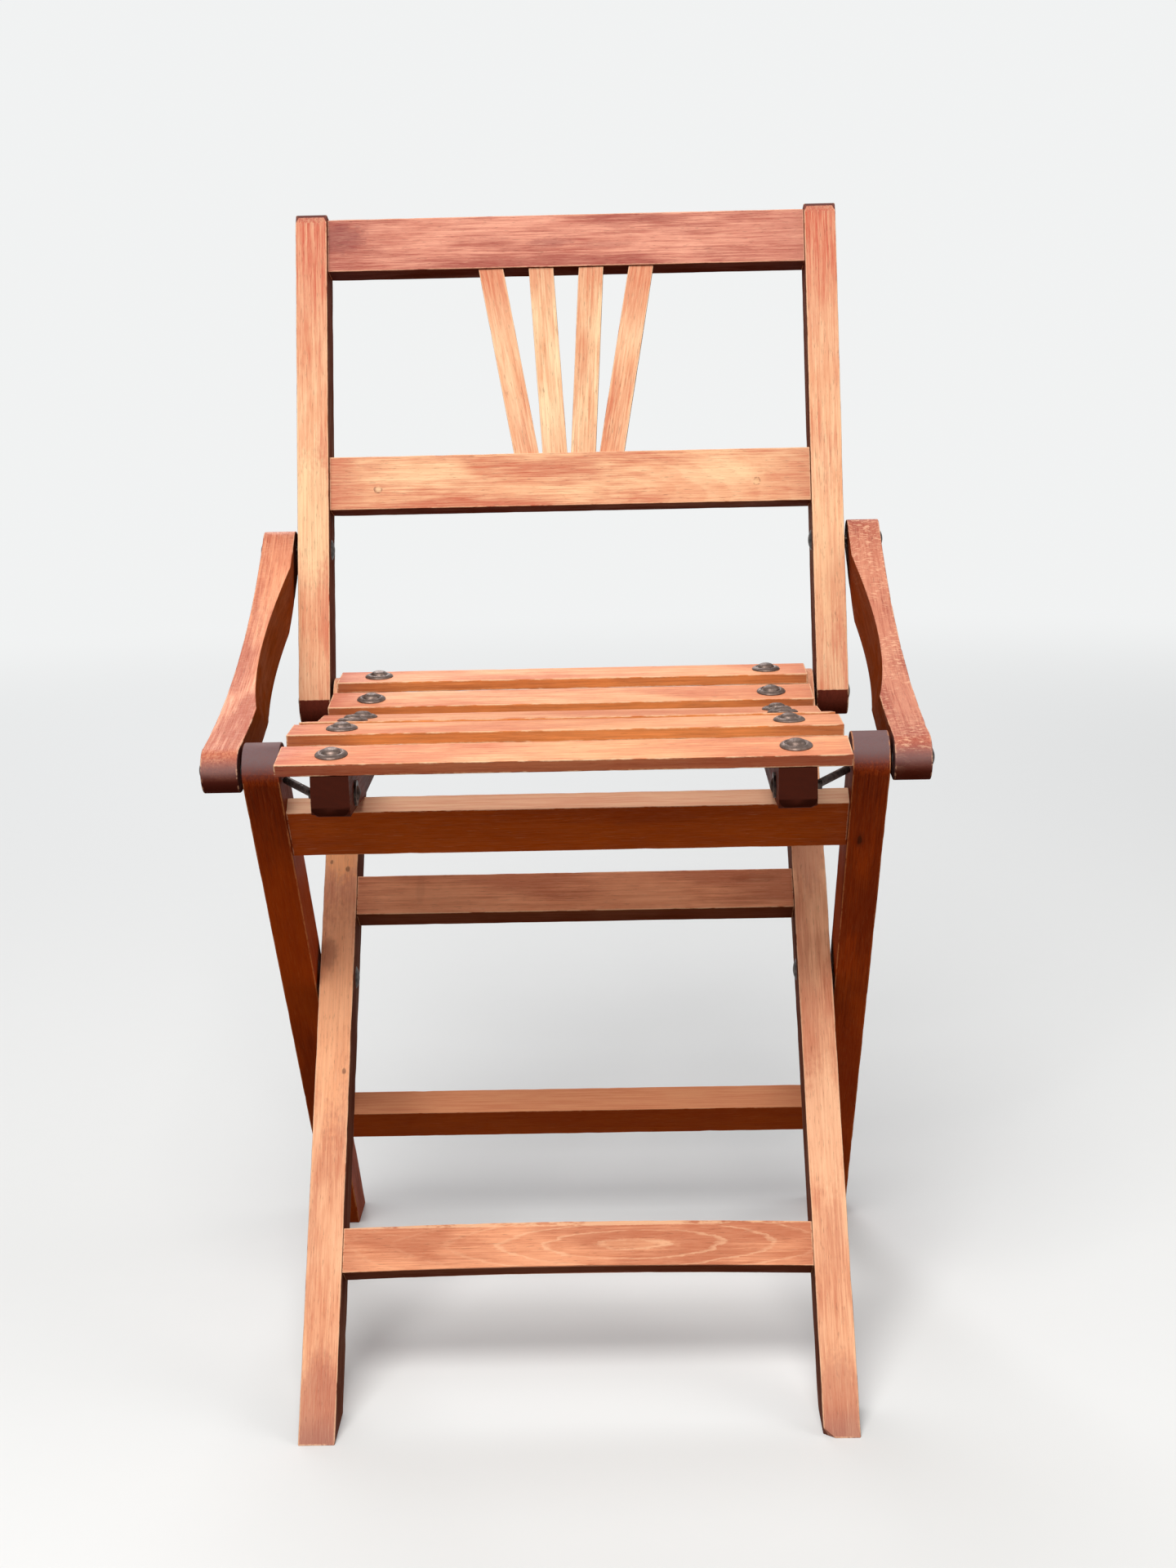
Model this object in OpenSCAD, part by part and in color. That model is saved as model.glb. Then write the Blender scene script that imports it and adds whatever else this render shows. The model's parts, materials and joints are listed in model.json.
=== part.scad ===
/* [Timber stock] */
// thickness of every leg, post, arm and seat bearer, across the chair
bar_t = 18.5; // [16:0.5:20]
// width of the legs and back posts, seen from the side
leg_w = 27; // [24:0.5:30]
// outside width over the inner leg frame
inner_w = 280; // [260:2:320]
// air between the seat bearers and the inner legs
seat_gap = 0.8; // [0.6:0.1:1.2]
// air between the inner frame and the outer frame or back posts
frame_gap = 1.6; // [1.2:0.1:2.4]
// air between the outer frame and the arms
arm_gap = 2.4; // [2.2:0.1:3]

/* [Leg scissor] */
// height of the scissor pivot above the floor
scissor_h = 193.2; // [185:1:201]
// lean of the inner legs to the rear
inner_lean = 37.7; // [36.5:0.1:38.7]
// lean of the outer legs to the front
outer_lean = 35; // [34:0.1:36]
// scissor pivot to the pivot at the top of the inner legs
inner_reach = 174.5; // [171:0.5:178]
// scissor pivot to the pivot at the top of the outer legs
outer_reach = 166.5; // [163:0.5:170]

/* [Leg cross rails] */
// height of the slim cross rails on their wide face
rail_h = 23.3; // [20:0.1:26]
// thickness of the slim cross rails
rail_t = 16; // [13:0.5:17]
// set-back of the inner cross rails behind the leg faces
inner_setback = 1.2; // [0.5:0.1:2.5]
// top edge of the upper inner rail above the scissor pivot, along the leg
inner_upper_at = 55.7; // [48:0.5:62]
// top edge of the lower inner rail below the scissor pivot, along the leg
inner_lower_at = 144.5; // [136:0.5:152]
// set-back of the outer cross rails behind the leg faces
outer_setback = 1.9; // [0.5:0.1:2.5]
// height of the upper outer rail that carries the seat
seat_rest_h = 32; // [28:0.5:34]
// thickness of the upper outer rail
seat_rest_t = 10.7; // [9:0.1:12]
// top edge of the upper outer rail below the top pivot, along the leg
outer_upper_drop = 20.2; // [18.5:0.1:22.5]
// top edge of the lower outer rail below the scissor pivot, along the leg
outer_lower_at = 113.4; // [106:0.5:120]

/* [Back] */
// lean of the back to the rear
back_lean = 16.2; // [14:0.2:18]
// back pivot to the top of the posts
post_reach = 290; // [270:1:310]
// back pivot to the arm pivot, along the post
arm_pivot_at = 90; // [86:0.5:94]
// height of the bevel at the front of each post top
post_bevel_h = 6; // [3:0.5:9]
// depth of the bevel at the front of each post top
post_bevel_d = 2.5; // [1:0.5:5]
// height of the two back rails
back_rail_h = 31.6; // [28:0.2:36]
// thickness of the two back rails
back_rail_t = 18; // [14:0.5:20]
// set-back of the back rails behind the post faces
back_setback = 4.5; // [2:0.5:6]
// top edge of the top rail below the post tops
top_rail_drop = 2.5; // [1:0.5:8]
// top edge of the lower back rail above the back pivot
back_lower_at = 143.7; // [138:0.5:156]
// width of each fan splat
splat_w = 14.7; // [12:0.1:16]
// thickness of each fan splat
splat_t = 6; // [4:0.5:8]
// set-back of the splats behind the rail faces
splat_setback = 1.5; // [0:0.5:4]
// spacing of the splats under the top rail
splat_top_step = 29.8; // [26:0.2:34]
// spacing of the splats on the lower rail
splat_low_step = 16.8; // [16.4:0.1:22]

/* [Seat] */
// width of each seat slat, front to rear
slat_w = 27.4; // [24:0.2:30]
// thickness of each seat slat
slat_t = 6; // [5:0.1:7]
// spacing of the slats, front to rear
slat_step = 44.3; // [42:0.1:45]
// length of the three rear slats
slat_short = 268.6; // [260:0.2:270]
// length of the three front slats
slat_long = 275; // [268:0.2:279]
// centre of the rear slat in front of the back pivot
slat_rear_at = 22.2; // [21.5:0.1:24]
// mean height of the slat tops above the back pivot
seat_rise = 12.9; // [12.4:0.1:15]
// height of the seat's wave above and below its mean
wave_h = 4.8; // [3:0.1:5]
// length of one wave, front to rear
wave_l = 188; // [184:1:200]
// crest of the wave in front of the scissor pivot
wave_at = 88.6; // [86:0.2:92]
// lowest point of the front end of the seat bearers below the back pivot
bearer_front_drop = 16.3; // [14:0.1:18]
// rounding at the lower front corner of the seat bearers
bearer_round = 6; // [3:0.5:8]
// radius of the rear end of the seat bearers
bearer_end_r = 11.5; // [10:0.1:12]
// set-back of the bearer ends behind the front slat
bearer_setback = 1.5; // [0:0.5:4]
// clearance over the upper outer rail that the seat rests on
rest_gap = 0.3; // [0.3:0.05:0.5]

/* [Arms] */
// width of the arm boards, seen from the side
arm_w = 23; // [20:0.5:25]
// drop of the arm's rear bend below the arm pivot
arm_bend_drop = 39; // [35:0.5:43]
// distance of the rear bend in front of the arm pivot
arm_bend_at = 49.5; // [44:0.5:54]
// rise of the arm's front bend above the front pivot
arm_front_rise = 13.5; // [8:0.5:18]
// distance of the front bend behind the front pivot
arm_front_at = 103; // [96:1:110]
// depth of the scoop in the arm's inner top edge
arm_scoop = 7.5; // [5:0.5:9]
// length of the scoop along the arm
arm_scoop_l = 144; // [120:2:150]
// tilt of the scoop, which makes it shallower at the arm's underside
arm_scoop_tilt = 11.5; // [8:0.5:14]

/* [Metal fittings] */
// radius of the hinge pins
pin_r = 2.5; // [2:0.1:3]
// running clearance round every pin
run_gap = 0.05; // [0.03:0.01:0.1]
// radius of the domed pin heads
head_r = 6; // [5:0.5:7]
// height of the domed pin heads
head_h = 1.7; // [1.4:0.1:1.8]
// height of the domed heads outside the arms
arm_head_h = 2.4; // [2:0.1:3]
// gap under a head that turns against timber
head_gap = 0.3; // [0.3:0.05:0.4]
// radius of the cup washer of each slat rivet
cup_r = 8; // [7:0.5:9]
// height of the cup washer
cup_h = 1.2; // [0.8:0.1:1.6]
// radius of the domed rivet top
rivet_r = 4.8; // [4:0.1:5.5]
// height of the domed rivet top
rivet_h = 2.2; // [1.5:0.1:3]
// radius of the rivet shank
shank_r = 2; // [1.5:0.1:2.5]
// depth of the rivet shank in the seat bearer
shank_grip = 10; // [6:0.5:12]
// seat peg behind the front end of the seat bearers
peg_back = 23.4; // [20:0.2:28]
// seat peg above the lowest point of the bearers' front end
peg_up = 7.8; // [6:0.1:10]
// radius of the seat peg
peg_r = 2.4; // [2:0.1:2.8]
// radius of the seat peg's outer part
peg_tip_r = 2; // [1.6:0.1:2.2]
// outer end of the seat peg below the outer leg's top pivot
peg_end_drop = 5; // [2:0.5:8]
// radius of the washer on the seat peg
peg_washer_r = 6.3; // [5:0.1:6.5]
// thickness of the washer on the seat peg
peg_washer_t = 1.2; // [0.8:0.1:1.6]

/* [Hidden] */
$fn = 64;
arm_steps = 28;
overcut = 1;
slat_count = 6;
splat_count = 4;
colour_timber = [0.72, 0.40, 0.24];
colour_timber_light = [0.78, 0.47, 0.28];
colour_timber_dark = [0.58, 0.27, 0.14];
colour_metal = [0.36, 0.31, 0.28];

// half widths of the layers, from the middle of the chair outwards
inner_x1 = inner_w / 2;
inner_x0 = inner_x1 - bar_t;
bearer_x1 = inner_x0 - seat_gap;
bearer_x0 = bearer_x1 - bar_t;
bearer_x = (bearer_x0 + bearer_x1) / 2;
outer_x0 = inner_x1 + frame_gap;
outer_x1 = outer_x0 + bar_t;
arm_x0 = outer_x1 + arm_gap;
arm_x1 = arm_x0 + bar_t;

// side view places as [y, z], measured from the scissor pivot's foot point
inner_top_y = inner_reach * sin(inner_lean);
inner_top_z = scissor_h + inner_reach * cos(inner_lean);
foot_front_y = -scissor_h * tan(inner_lean) - leg_w / 2 / cos(inner_lean);
back_rear_y = inner_top_y + post_reach * sin(back_lean) + leg_w / 2 * cos(back_lean);
middle_y = (foot_front_y + back_rear_y) / 2;
scissor_y = -middle_y;
hinge = [scissor_y + inner_top_y, inner_top_z];
front = [scissor_y - outer_reach * sin(outer_lean), scissor_h + outer_reach * cos(outer_lean)];
elbow = hinge + arm_pivot_at * [sin(back_lean), cos(back_lean)];
rest_back = outer_setback + seat_rest_t - leg_w / 2;
outer_upper_at = outer_reach - outer_upper_drop;
rest_y = scissor_y - outer_upper_at * sin(outer_lean) + rest_back * cos(outer_lean);
rest_z = scissor_h + outer_upper_at * cos(outer_lean) + rest_back * sin(outer_lean);
post_top_rail_at = post_reach - top_rail_drop;
splat_span = post_top_rail_at - back_rail_h - back_lower_at;

// the saddle wave that the slat tops follow
function wave_angle(y) = 360 * (y - scissor_y + wave_at) / wave_l;
function wave_z(y) = hinge[1] + seat_rise + wave_h * cos(wave_angle(y));
function wave_slope(y) = -atan(wave_h * 2 * PI / wave_l * sin(wave_angle(y)));
function slat_y(i) = hinge[0] - slat_rear_at - (i - 1) * slat_step;
function slat_point(i, along, up) = [slat_y(i), wave_z(slat_y(i))]
    + along * [cos(wave_slope(slat_y(i))), sin(wave_slope(slat_y(i)))]
    + up * [-sin(wave_slope(slat_y(i))), cos(wave_slope(slat_y(i)))];
function slat_length(i) = i <= slat_count / 2 ? slat_short : slat_long;

bearer_nose = slat_y(slat_count) - slat_w / 2 + bearer_setback;
bearer_low = hinge[1] - bearer_front_drop;
peg = [bearer_nose + peg_back, bearer_low + peg_up];

// the arm's centre line, a smooth curve from its rear pivot to its front pivot
bend_rear = elbow + [-arm_bend_at, -arm_bend_drop];
bend_front = front + [arm_front_at, arm_front_rise];
function arm_point(t) = pow(1 - t, 3) * elbow + 3 * t * pow(1 - t, 2) * bend_rear
    + 3 * t * t * (1 - t) * bend_front + pow(t, 3) * front;
function arm_along(t) = 3 * pow(1 - t, 2) * (bend_rear - elbow)
    + 6 * t * (1 - t) * (bend_front - bend_rear) + 3 * t * t * (front - bend_front);
function arm_normal(t) = [-arm_along(t)[1], arm_along(t)[0]] / norm(arm_along(t));
scoop_t = 0.5;
scoop_r = arm_scoop_l * arm_scoop_l / (8 * arm_scoop) + arm_scoop / 2;

// a side view outline swept across the chair from x0 to x1
module across(x0, x1) {
    translate([x0, 0, 0])
        rotate([90, 0, 90])
            linear_extrude(x1 - x0)
                children();
}

// a round bar across the chair at a side view place
module round_bar(at, r, x0, x1) {
    translate([x0, at[0], at[1]])
        rotate([0, 90, 0])
            cylinder(r = r, h = x1 - x0);
}

// a domed head standing on the plane x0, towards +X
module dome(at, r, h, x0) {
    ball_r = (r * r + h * h) / (2 * h);
    translate([x0, at[0], at[1]])
        rotate([0, 90, 0])
            intersection() {
                cylinder(r = r, h = h);
                translate([0, 0, h - ball_r])
                    sphere(r = ball_r, $fn = 96);
            }
}

// the same head turned to face the middle of the chair
module dome_inward(at, r, h, x0) {
    translate([2 * x0, 0, 0])
        mirror([1, 0, 0])
            dome(at, r, h, x0);
}

module left() {
    mirror([1, 0, 0])
        children();
}

// local frames that lie along the inner legs, the outer legs and the back
module along_inner() {
    translate([0, scissor_y, scissor_h])
        rotate([-inner_lean, 0, 0])
            children();
}

module along_outer() {
    translate([0, scissor_y, scissor_h])
        rotate([outer_lean, 0, 0])
            children();
}

module along_back() {
    translate([0, hinge[0], hinge[1]])
        rotate([-back_lean, 0, 0])
            children();
}

module cross_rail(half, top, h, t, setback) {
    translate([-half, setback - leg_w / 2, top - h])
        cube([2 * half, t, h]);
}

module leg_blank(x0, reach) {
    foot = scissor_h / cos(inner_lean) + leg_w;
    translate([x0, -leg_w / 2, -foot])
        cube([bar_t, leg_w, foot + reach]);
    round_bar([0, reach], leg_w / 2, x0, x0 + bar_t);
}

module above_floor() {
    difference() {
        children();
        translate([-inner_w, -inner_w * 2, -inner_w])
            cube([inner_w * 2, inner_w * 4, inner_w]);
    }
}

module inner_leg() {
    difference() {
        above_floor()
            along_inner()
                leg_blank(inner_x0, inner_reach);
        round_bar([scissor_y, scissor_h], pin_r + run_gap, inner_x0 - overcut, inner_x1 + overcut);
        round_bar(hinge, pin_r + run_gap, inner_x0 - overcut, inner_x1 + overcut);
    }
}

module inner_leg_right() {
    color(colour_timber)
        inner_leg();
}

module inner_leg_left() {
    color(colour_timber)
        left()
            inner_leg();
}

module inner_rail_upper() {
    color(colour_timber)
        along_inner()
            cross_rail(inner_x0, inner_upper_at, rail_h, rail_t, inner_setback);
}

module inner_rail_lower() {
    color(colour_timber)
        along_inner()
            cross_rail(inner_x0, -inner_lower_at, rail_h, rail_t, inner_setback);
}

module outer_leg() {
    difference() {
        above_floor()
            along_outer()
                leg_blank(outer_x0, outer_reach);
        round_bar([scissor_y, scissor_h], pin_r + run_gap, outer_x0 - overcut, outer_x1 + overcut);
    }
}

module outer_leg_right() {
    color(colour_timber_dark)
        outer_leg();
}

module outer_leg_left() {
    color(colour_timber_dark)
        left()
            outer_leg();
}

module outer_rail_upper() {
    color(colour_timber_dark)
        along_outer()
            cross_rail(outer_x0, outer_upper_at, seat_rest_h, seat_rest_t, outer_setback);
}

module outer_rail_lower() {
    color(colour_timber_dark)
        along_outer()
            cross_rail(outer_x0, -outer_lower_at, rail_h, rail_t, outer_setback);
}

module back_post() {
    difference() {
        along_back() {
            across(outer_x0, outer_x1)
                polygon([[-leg_w / 2, 0], [leg_w / 2, 0], [leg_w / 2, post_reach],
                    [post_bevel_d - leg_w / 2, post_reach],
                    [-leg_w / 2, post_reach - post_bevel_h]]);
            round_bar([0, 0], leg_w / 2, outer_x0, outer_x1);
        }
        round_bar(hinge, pin_r + run_gap, outer_x0 - overcut, outer_x1 + overcut);
        round_bar(elbow, pin_r + run_gap, outer_x0 - overcut, outer_x1 + overcut);
    }
}

module back_post_right() {
    color(colour_timber)
        back_post();
}

module back_post_left() {
    color(colour_timber)
        left()
            back_post();
}

module back_rail_top() {
    color(colour_timber)
        along_back()
            cross_rail(outer_x0, post_top_rail_at, back_rail_h, back_rail_t, back_setback);
}

module back_rail_lower() {
    color(colour_timber_light)
        along_back()
            cross_rail(outer_x0, back_lower_at, back_rail_h, back_rail_t, back_setback);
}

// one flat splat of the fan, counted from the left
module back_splat(i) {
    place = i - (splat_count + 1) / 2;
    low = place * splat_low_step;
    top = place * splat_top_step;
    color(colour_timber_light)
        along_back()
            translate([0, back_setback + splat_setback + splat_t - leg_w / 2, back_lower_at])
                rotate([90, 0, 0])
                    linear_extrude(splat_t)
                        polygon([[low - splat_w / 2, 0], [low + splat_w / 2, 0],
                            [top + splat_w / 2, splat_span], [top - splat_w / 2, splat_span]]);
}

module back_splat_1() {
    back_splat(1);
}

module back_splat_2() {
    back_splat(2);
}

module back_splat_3() {
    back_splat(3);
}

module back_splat_4() {
    back_splat(4);
}

module arm() {
    difference() {
        union() {
            across(arm_x0, arm_x1)
                polygon([
                    for (i = [0:arm_steps]) arm_point(i / arm_steps)
                        + arm_w / 2 * arm_normal(i / arm_steps),
                    for (i = [arm_steps:-1:0]) arm_point(i / arm_steps)
                        - arm_w / 2 * arm_normal(i / arm_steps)]);
            round_bar(elbow, arm_w / 2, arm_x0, arm_x1);
            round_bar(front, arm_w / 2, arm_x0, arm_x1);
        }
        round_bar(elbow, pin_r + run_gap, arm_x0 - overcut, arm_x1 + overcut);
        round_bar(front, pin_r + run_gap, arm_x0 - overcut, arm_x1 + overcut);
        arm_scoop_cut();
    }
}

// the hollow on the arm's inner side, square to its length and deepest at the top edge
module arm_scoop_cut() {
    place = arm_point(scoop_t) - arm_w / 2 * arm_normal(scoop_t);
    slope = atan2(-arm_along(scoop_t)[1], -arm_along(scoop_t)[0]);
    translate([arm_x0 + arm_scoop, place[0], place[1]])
        rotate([slope, 0, 0])
            rotate([0, arm_scoop_tilt, 0])
                translate([-scoop_r, 0, 0])
                    rotate([0, 0, 180])
                        cylinder(r = scoop_r, h = 4 * arm_w, center = true, $fn = 256);
}

module arm_right() {
    color(colour_timber)
        arm();
}

module arm_left() {
    color(colour_timber)
        left()
            arm();
}

// the bearer's flats under the slats and its belly over the seat rest
module bearer_outline() {
    polygon([
        [bearer_nose, bearer_low + bearer_round],
        [bearer_nose, slat_point(slat_count, -slat_w / 2, -slat_t)[1]],
        for (i = [slat_count:-1:1]) each [
            slat_point(i, i == slat_count ? bearer_setback - slat_w / 2 : -slat_w / 2, -slat_t),
            slat_point(i, i == 1 ? 0 : slat_w / 2, -slat_t)],
        hinge + [0, bearer_end_r],
        hinge - [0, bearer_end_r],
        [rest_y, rest_z + rest_gap],
        [bearer_nose + bearer_round, bearer_low]]);
}

// the places of the rivets in one bearer, with +Z out of the slat's top
module at_rivet(i) {
    translate([bearer_x, slat_y(i), wave_z(slat_y(i))])
        rotate([wave_slope(slat_y(i)), 0, 0])
            children();
}

module seat_bearer() {
    difference() {
        union() {
            across(bearer_x0, bearer_x1)
                bearer_outline();
            round_bar([bearer_nose, bearer_low] + bearer_round * [1, 1], bearer_round,
                bearer_x0, bearer_x1);
            round_bar(hinge, bearer_end_r, bearer_x0, bearer_x1);
        }
        round_bar(hinge, pin_r + run_gap, bearer_x0 - overcut, bearer_x1 + overcut);
        round_bar(peg, peg_r + run_gap, bearer_x0 - overcut, bearer_x1 + overcut);
        for (i = [1:slat_count])
            at_rivet(i)
                translate([0, 0, -slat_t - shank_grip - run_gap])
                    cylinder(r = shank_r + run_gap, h = slat_t + shank_grip + overcut);
    }
}

module seat_bearer_right() {
    color(colour_timber_dark)
        seat_bearer();
}

module seat_bearer_left() {
    color(colour_timber_dark)
        left()
            seat_bearer();
}

// one seat slat, counted from the rear
module seat_slat(i) {
    hole = shank_r + run_gap;
    color(i < slat_count ? colour_timber : colour_timber_light)
        translate([0, slat_y(i), wave_z(slat_y(i))])
            rotate([wave_slope(slat_y(i)), 0, 0])
                difference() {
                    translate([-slat_length(i) / 2, -slat_w / 2, -slat_t])
                        cube([slat_length(i), slat_w, slat_t]);
                    for (side = [-1, 1])
                        translate([side * bearer_x, 0, -slat_t - overcut])
                            cylinder(r = hole, h = slat_t + 2 * overcut);
                }
}

module seat_slat_1() {
    seat_slat(1);
}

module seat_slat_2() {
    seat_slat(2);
}

module seat_slat_3() {
    seat_slat(3);
}

module seat_slat_4() {
    seat_slat(4);
}

module seat_slat_5() {
    seat_slat(5);
}

module seat_slat_6() {
    seat_slat(6);
}

// a cup washer with a domed rivet and its shank
module rivet() {
    ball_r = (rivet_r * rivet_r + rivet_h * rivet_h) / (2 * rivet_h);
    translate([0, 0, -slat_t - shank_grip])
        cylinder(r = shank_r, h = slat_t + shank_grip);
    rotate_extrude()
        polygon([[0, 0], [cup_r, 0], [cup_r, cup_h * 0.4], [rivet_r * 1.2, cup_h], [0, cup_h]]);
    translate([0, 0, cup_h])
        intersection() {
            cylinder(r = rivet_r, h = rivet_h);
            translate([0, 0, rivet_h - ball_r])
                sphere(r = ball_r, $fn = 96);
        }
}

module slat_rivets() {
    color(colour_metal)
        for (i = [1:slat_count]) {
            at_rivet(i)
                rivet();
            left()
                at_rivet(i)
                    rivet();
        }
}

// a headed pin from x0 to x1 with a turning gap under each head
module hinge_pin(at, x0, x1, gap0, gap1, h1) {
    round_bar(at, pin_r, x0 - gap0 - head_h / 2, x1 + gap1 + h1 / 2);
    dome_inward(at, head_r, head_h, x0 - gap0);
    dome(at, head_r, h1, x1 + gap1);
}

module scissor_pins() {
    color(colour_metal) {
        hinge_pin([scissor_y, scissor_h], inner_x0, outer_x1, 0, head_gap, head_h);
        left()
            hinge_pin([scissor_y, scissor_h], inner_x0, outer_x1, 0, head_gap, head_h);
    }
}

module back_hinge_pins() {
    color(colour_metal) {
        hinge_pin(hinge, bearer_x0, outer_x1, head_gap, head_gap, head_h);
        left()
            hinge_pin(hinge, bearer_x0, outer_x1, head_gap, head_gap, head_h);
    }
}

module arm_rear_pins() {
    color(colour_metal) {
        hinge_pin(elbow, outer_x0, arm_x1, 0, head_gap, arm_head_h);
        left()
            hinge_pin(elbow, outer_x0, arm_x1, 0, head_gap, arm_head_h);
    }
}

// the stud in the arm's front end, flush on the inside
module arm_stud() {
    round_bar(front, pin_r, arm_x0, arm_x1 + arm_head_h / 2);
    dome(front, head_r, arm_head_h, arm_x1);
}

module arm_stud_right() {
    color(colour_metal)
        arm_stud();
}

module arm_stud_left() {
    color(colour_metal)
        left()
            arm_stud();
}

// the peg through the bearer, its slimmer outer part bent back to the outer leg's top
module seat_peg() {
    start = [bearer_x1 + peg_tip_r, peg[0], peg[1]];
    run = [outer_x0 - head_gap, front[0], front[1] - peg_end_drop] - start;
    bend = acos(run[0] / norm(run));
    washer_x = bearer_x0 - peg_washer_t;
    round_bar(peg, peg_r, washer_x - head_h / 2, bearer_x1 + 2 * peg_tip_r);
    dome_inward(peg, peg_r * 1.6, head_h, washer_x);
    translate(start)
        rotate([0, acos(run[2] / norm(run)), atan2(run[1], run[0])])
            cylinder(r = peg_tip_r, h = (run[0] - peg_tip_r * sin(bend)) / cos(bend));
}

module seat_pegs() {
    color(colour_metal) {
        seat_peg();
        left()
            seat_peg();
    }
}

module peg_washer() {
    difference() {
        round_bar(peg, peg_washer_r, bearer_x0 - peg_washer_t, bearer_x0);
        round_bar(peg, peg_r + run_gap, bearer_x0 - peg_washer_t - overcut, bearer_x0 + overcut);
    }
}

module seat_peg_washers() {
    color(colour_metal) {
        peg_washer();
        left()
            peg_washer();
    }
}

inner_leg_left();
inner_leg_right();
inner_rail_upper();
inner_rail_lower();
outer_leg_left();
outer_leg_right();
outer_rail_upper();
outer_rail_lower();
back_post_left();
back_post_right();
back_rail_top();
back_rail_lower();
back_splat_1();
back_splat_2();
back_splat_3();
back_splat_4();
arm_left();
arm_right();
seat_bearer_left();
seat_bearer_right();
seat_slat_1();
seat_slat_2();
seat_slat_3();
seat_slat_4();
seat_slat_5();
seat_slat_6();
slat_rivets();
scissor_pins();
back_hinge_pins();
arm_rear_pins();
arm_stud_left();
arm_stud_right();
seat_pegs();
seat_peg_washers();
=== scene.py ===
import json
import math

import bmesh
import bpy
from mathutils import Matrix, Vector, noise

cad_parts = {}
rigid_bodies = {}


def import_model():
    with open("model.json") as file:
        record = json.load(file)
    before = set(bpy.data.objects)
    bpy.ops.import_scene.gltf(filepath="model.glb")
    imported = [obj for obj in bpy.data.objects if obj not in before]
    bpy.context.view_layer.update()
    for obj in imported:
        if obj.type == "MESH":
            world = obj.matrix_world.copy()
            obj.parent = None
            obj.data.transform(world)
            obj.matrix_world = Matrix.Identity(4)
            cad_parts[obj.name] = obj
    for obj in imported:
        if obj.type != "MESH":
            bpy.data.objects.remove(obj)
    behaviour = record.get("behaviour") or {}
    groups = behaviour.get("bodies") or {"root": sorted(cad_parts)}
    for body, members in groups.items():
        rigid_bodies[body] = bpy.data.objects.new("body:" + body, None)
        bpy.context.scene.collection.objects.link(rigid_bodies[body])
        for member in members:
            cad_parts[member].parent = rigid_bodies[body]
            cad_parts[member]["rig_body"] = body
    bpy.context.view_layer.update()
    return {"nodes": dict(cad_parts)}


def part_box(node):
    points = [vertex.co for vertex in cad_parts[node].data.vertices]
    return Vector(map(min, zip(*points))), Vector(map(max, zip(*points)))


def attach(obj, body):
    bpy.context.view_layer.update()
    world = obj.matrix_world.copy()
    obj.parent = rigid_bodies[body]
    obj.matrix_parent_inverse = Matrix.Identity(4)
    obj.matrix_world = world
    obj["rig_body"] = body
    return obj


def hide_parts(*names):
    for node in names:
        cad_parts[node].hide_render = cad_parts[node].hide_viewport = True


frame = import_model()
nodes = frame["nodes"]
mm = 0.001
print("frame loaded:", len(nodes), "nodes")


# steps of the shader trees; a value is a socket or a plain number, vector or colour
def isSocket(value):
    return isinstance(value, bpy.types.NodeSocket)


def feed(socket, value):
    if isSocket(value):
        socket.id_data.links.new(value, socket)
    elif value is not None:
        socket.default_value = value


def addStep(kind, values, **options):
    # a node in the tree of the sockets among its values, which go to its inputs in order
    node = next(filter(isSocket, values)).id_data.nodes.new(kind)
    for option, value in options.items():
        setattr(node, option, value)
    for socket, value in zip(node.inputs, values):
        feed(socket, value)
    return node.outputs


def mathStep(operation):
    def step(first, second=None, clamp=False):
        return addStep("ShaderNodeMath", (first, second), operation=operation, use_clamp=clamp)[0]
    return step


plus, minus, times, over = [mathStep(name) for name in ("ADD", "SUBTRACT", "MULTIPLY", "DIVIDE")]
most, least, root = [mathStep(name) for name in ("MAXIMUM", "MINIMUM", "SQRT")]
unsigned, fraction = [mathStep(name) for name in ("ABSOLUTE", "FRACT")]


def withShares(start, *rows):
    # start plus each row's mask times its share
    for mask, share in rows:
        start = plus(start, times(mask, share))
    return start


def vectorStep(operation, first, second=None):
    outputs = addStep("ShaderNodeVectorMath", (first, second), operation=operation)
    return outputs["Value" if operation == "LENGTH" else "Vector"]


def noiseOn(place, stretch, detail=3, rough=0.55, shift=(0, 0, 0)):
    # 3D noise on a stretched and shifted place, stretch in waves per unit of the place
    mapped = addStep("ShaderNodeMapping", (place, shift, None, stretch))[0]
    return addStep("ShaderNodeTexNoise", (mapped, None, 1, detail, rough))[0]


def span(value, low, high, to0=0, to1=1):
    return addStep("ShaderNodeMapRange", (value, low, high, to0, to1), interpolation_type="SMOOTHSTEP")[0]


def riseAndFall(value, start, full, fade, end):
    return times(span(value, start, full), span(value, fade, end, 1, 0))


def blendColour(amount, first, second):
    # the colours are the mix node's seventh and eighth input and its third output
    return addStep("ShaderNodeMix", (amount, *[None] * 5, first, second), data_type="RGBA")[2]


def split(vector):
    return addStep("ShaderNodeSeparateXYZ", (vector,))


def join(*parts):
    return addStep("ShaderNodeCombineXYZ", parts)[0]


def attribute(tree, name):
    node = tree.nodes.new("ShaderNodeAttribute")
    node.attribute_name = name
    return node.outputs["Vector"]


def startTree(holder, outputKind):
    holder.use_nodes = True
    tree = holder.node_tree
    tree.nodes.clear()
    return tree, tree.nodes.new(outputKind).inputs[0]


def startMaterial(name):
    material = bpy.data.materials.new(name)
    tree, surface = startTree(material, "ShaderNodeOutputMaterial")
    shader = tree.nodes.new("ShaderNodeBsdfPrincipled")
    feed(surface, shader.outputs[0])
    return material, tree, shader


def addBump(shader, height, strength, distance):
    bump = height.id_data.nodes.new("ShaderNodeBump")
    for label, value in (("Strength", strength), ("Distance", distance), ("Height", height)):
        feed(bump.inputs[label], value)
    feed(shader.inputs["Normal"], bump.outputs[0])


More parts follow.
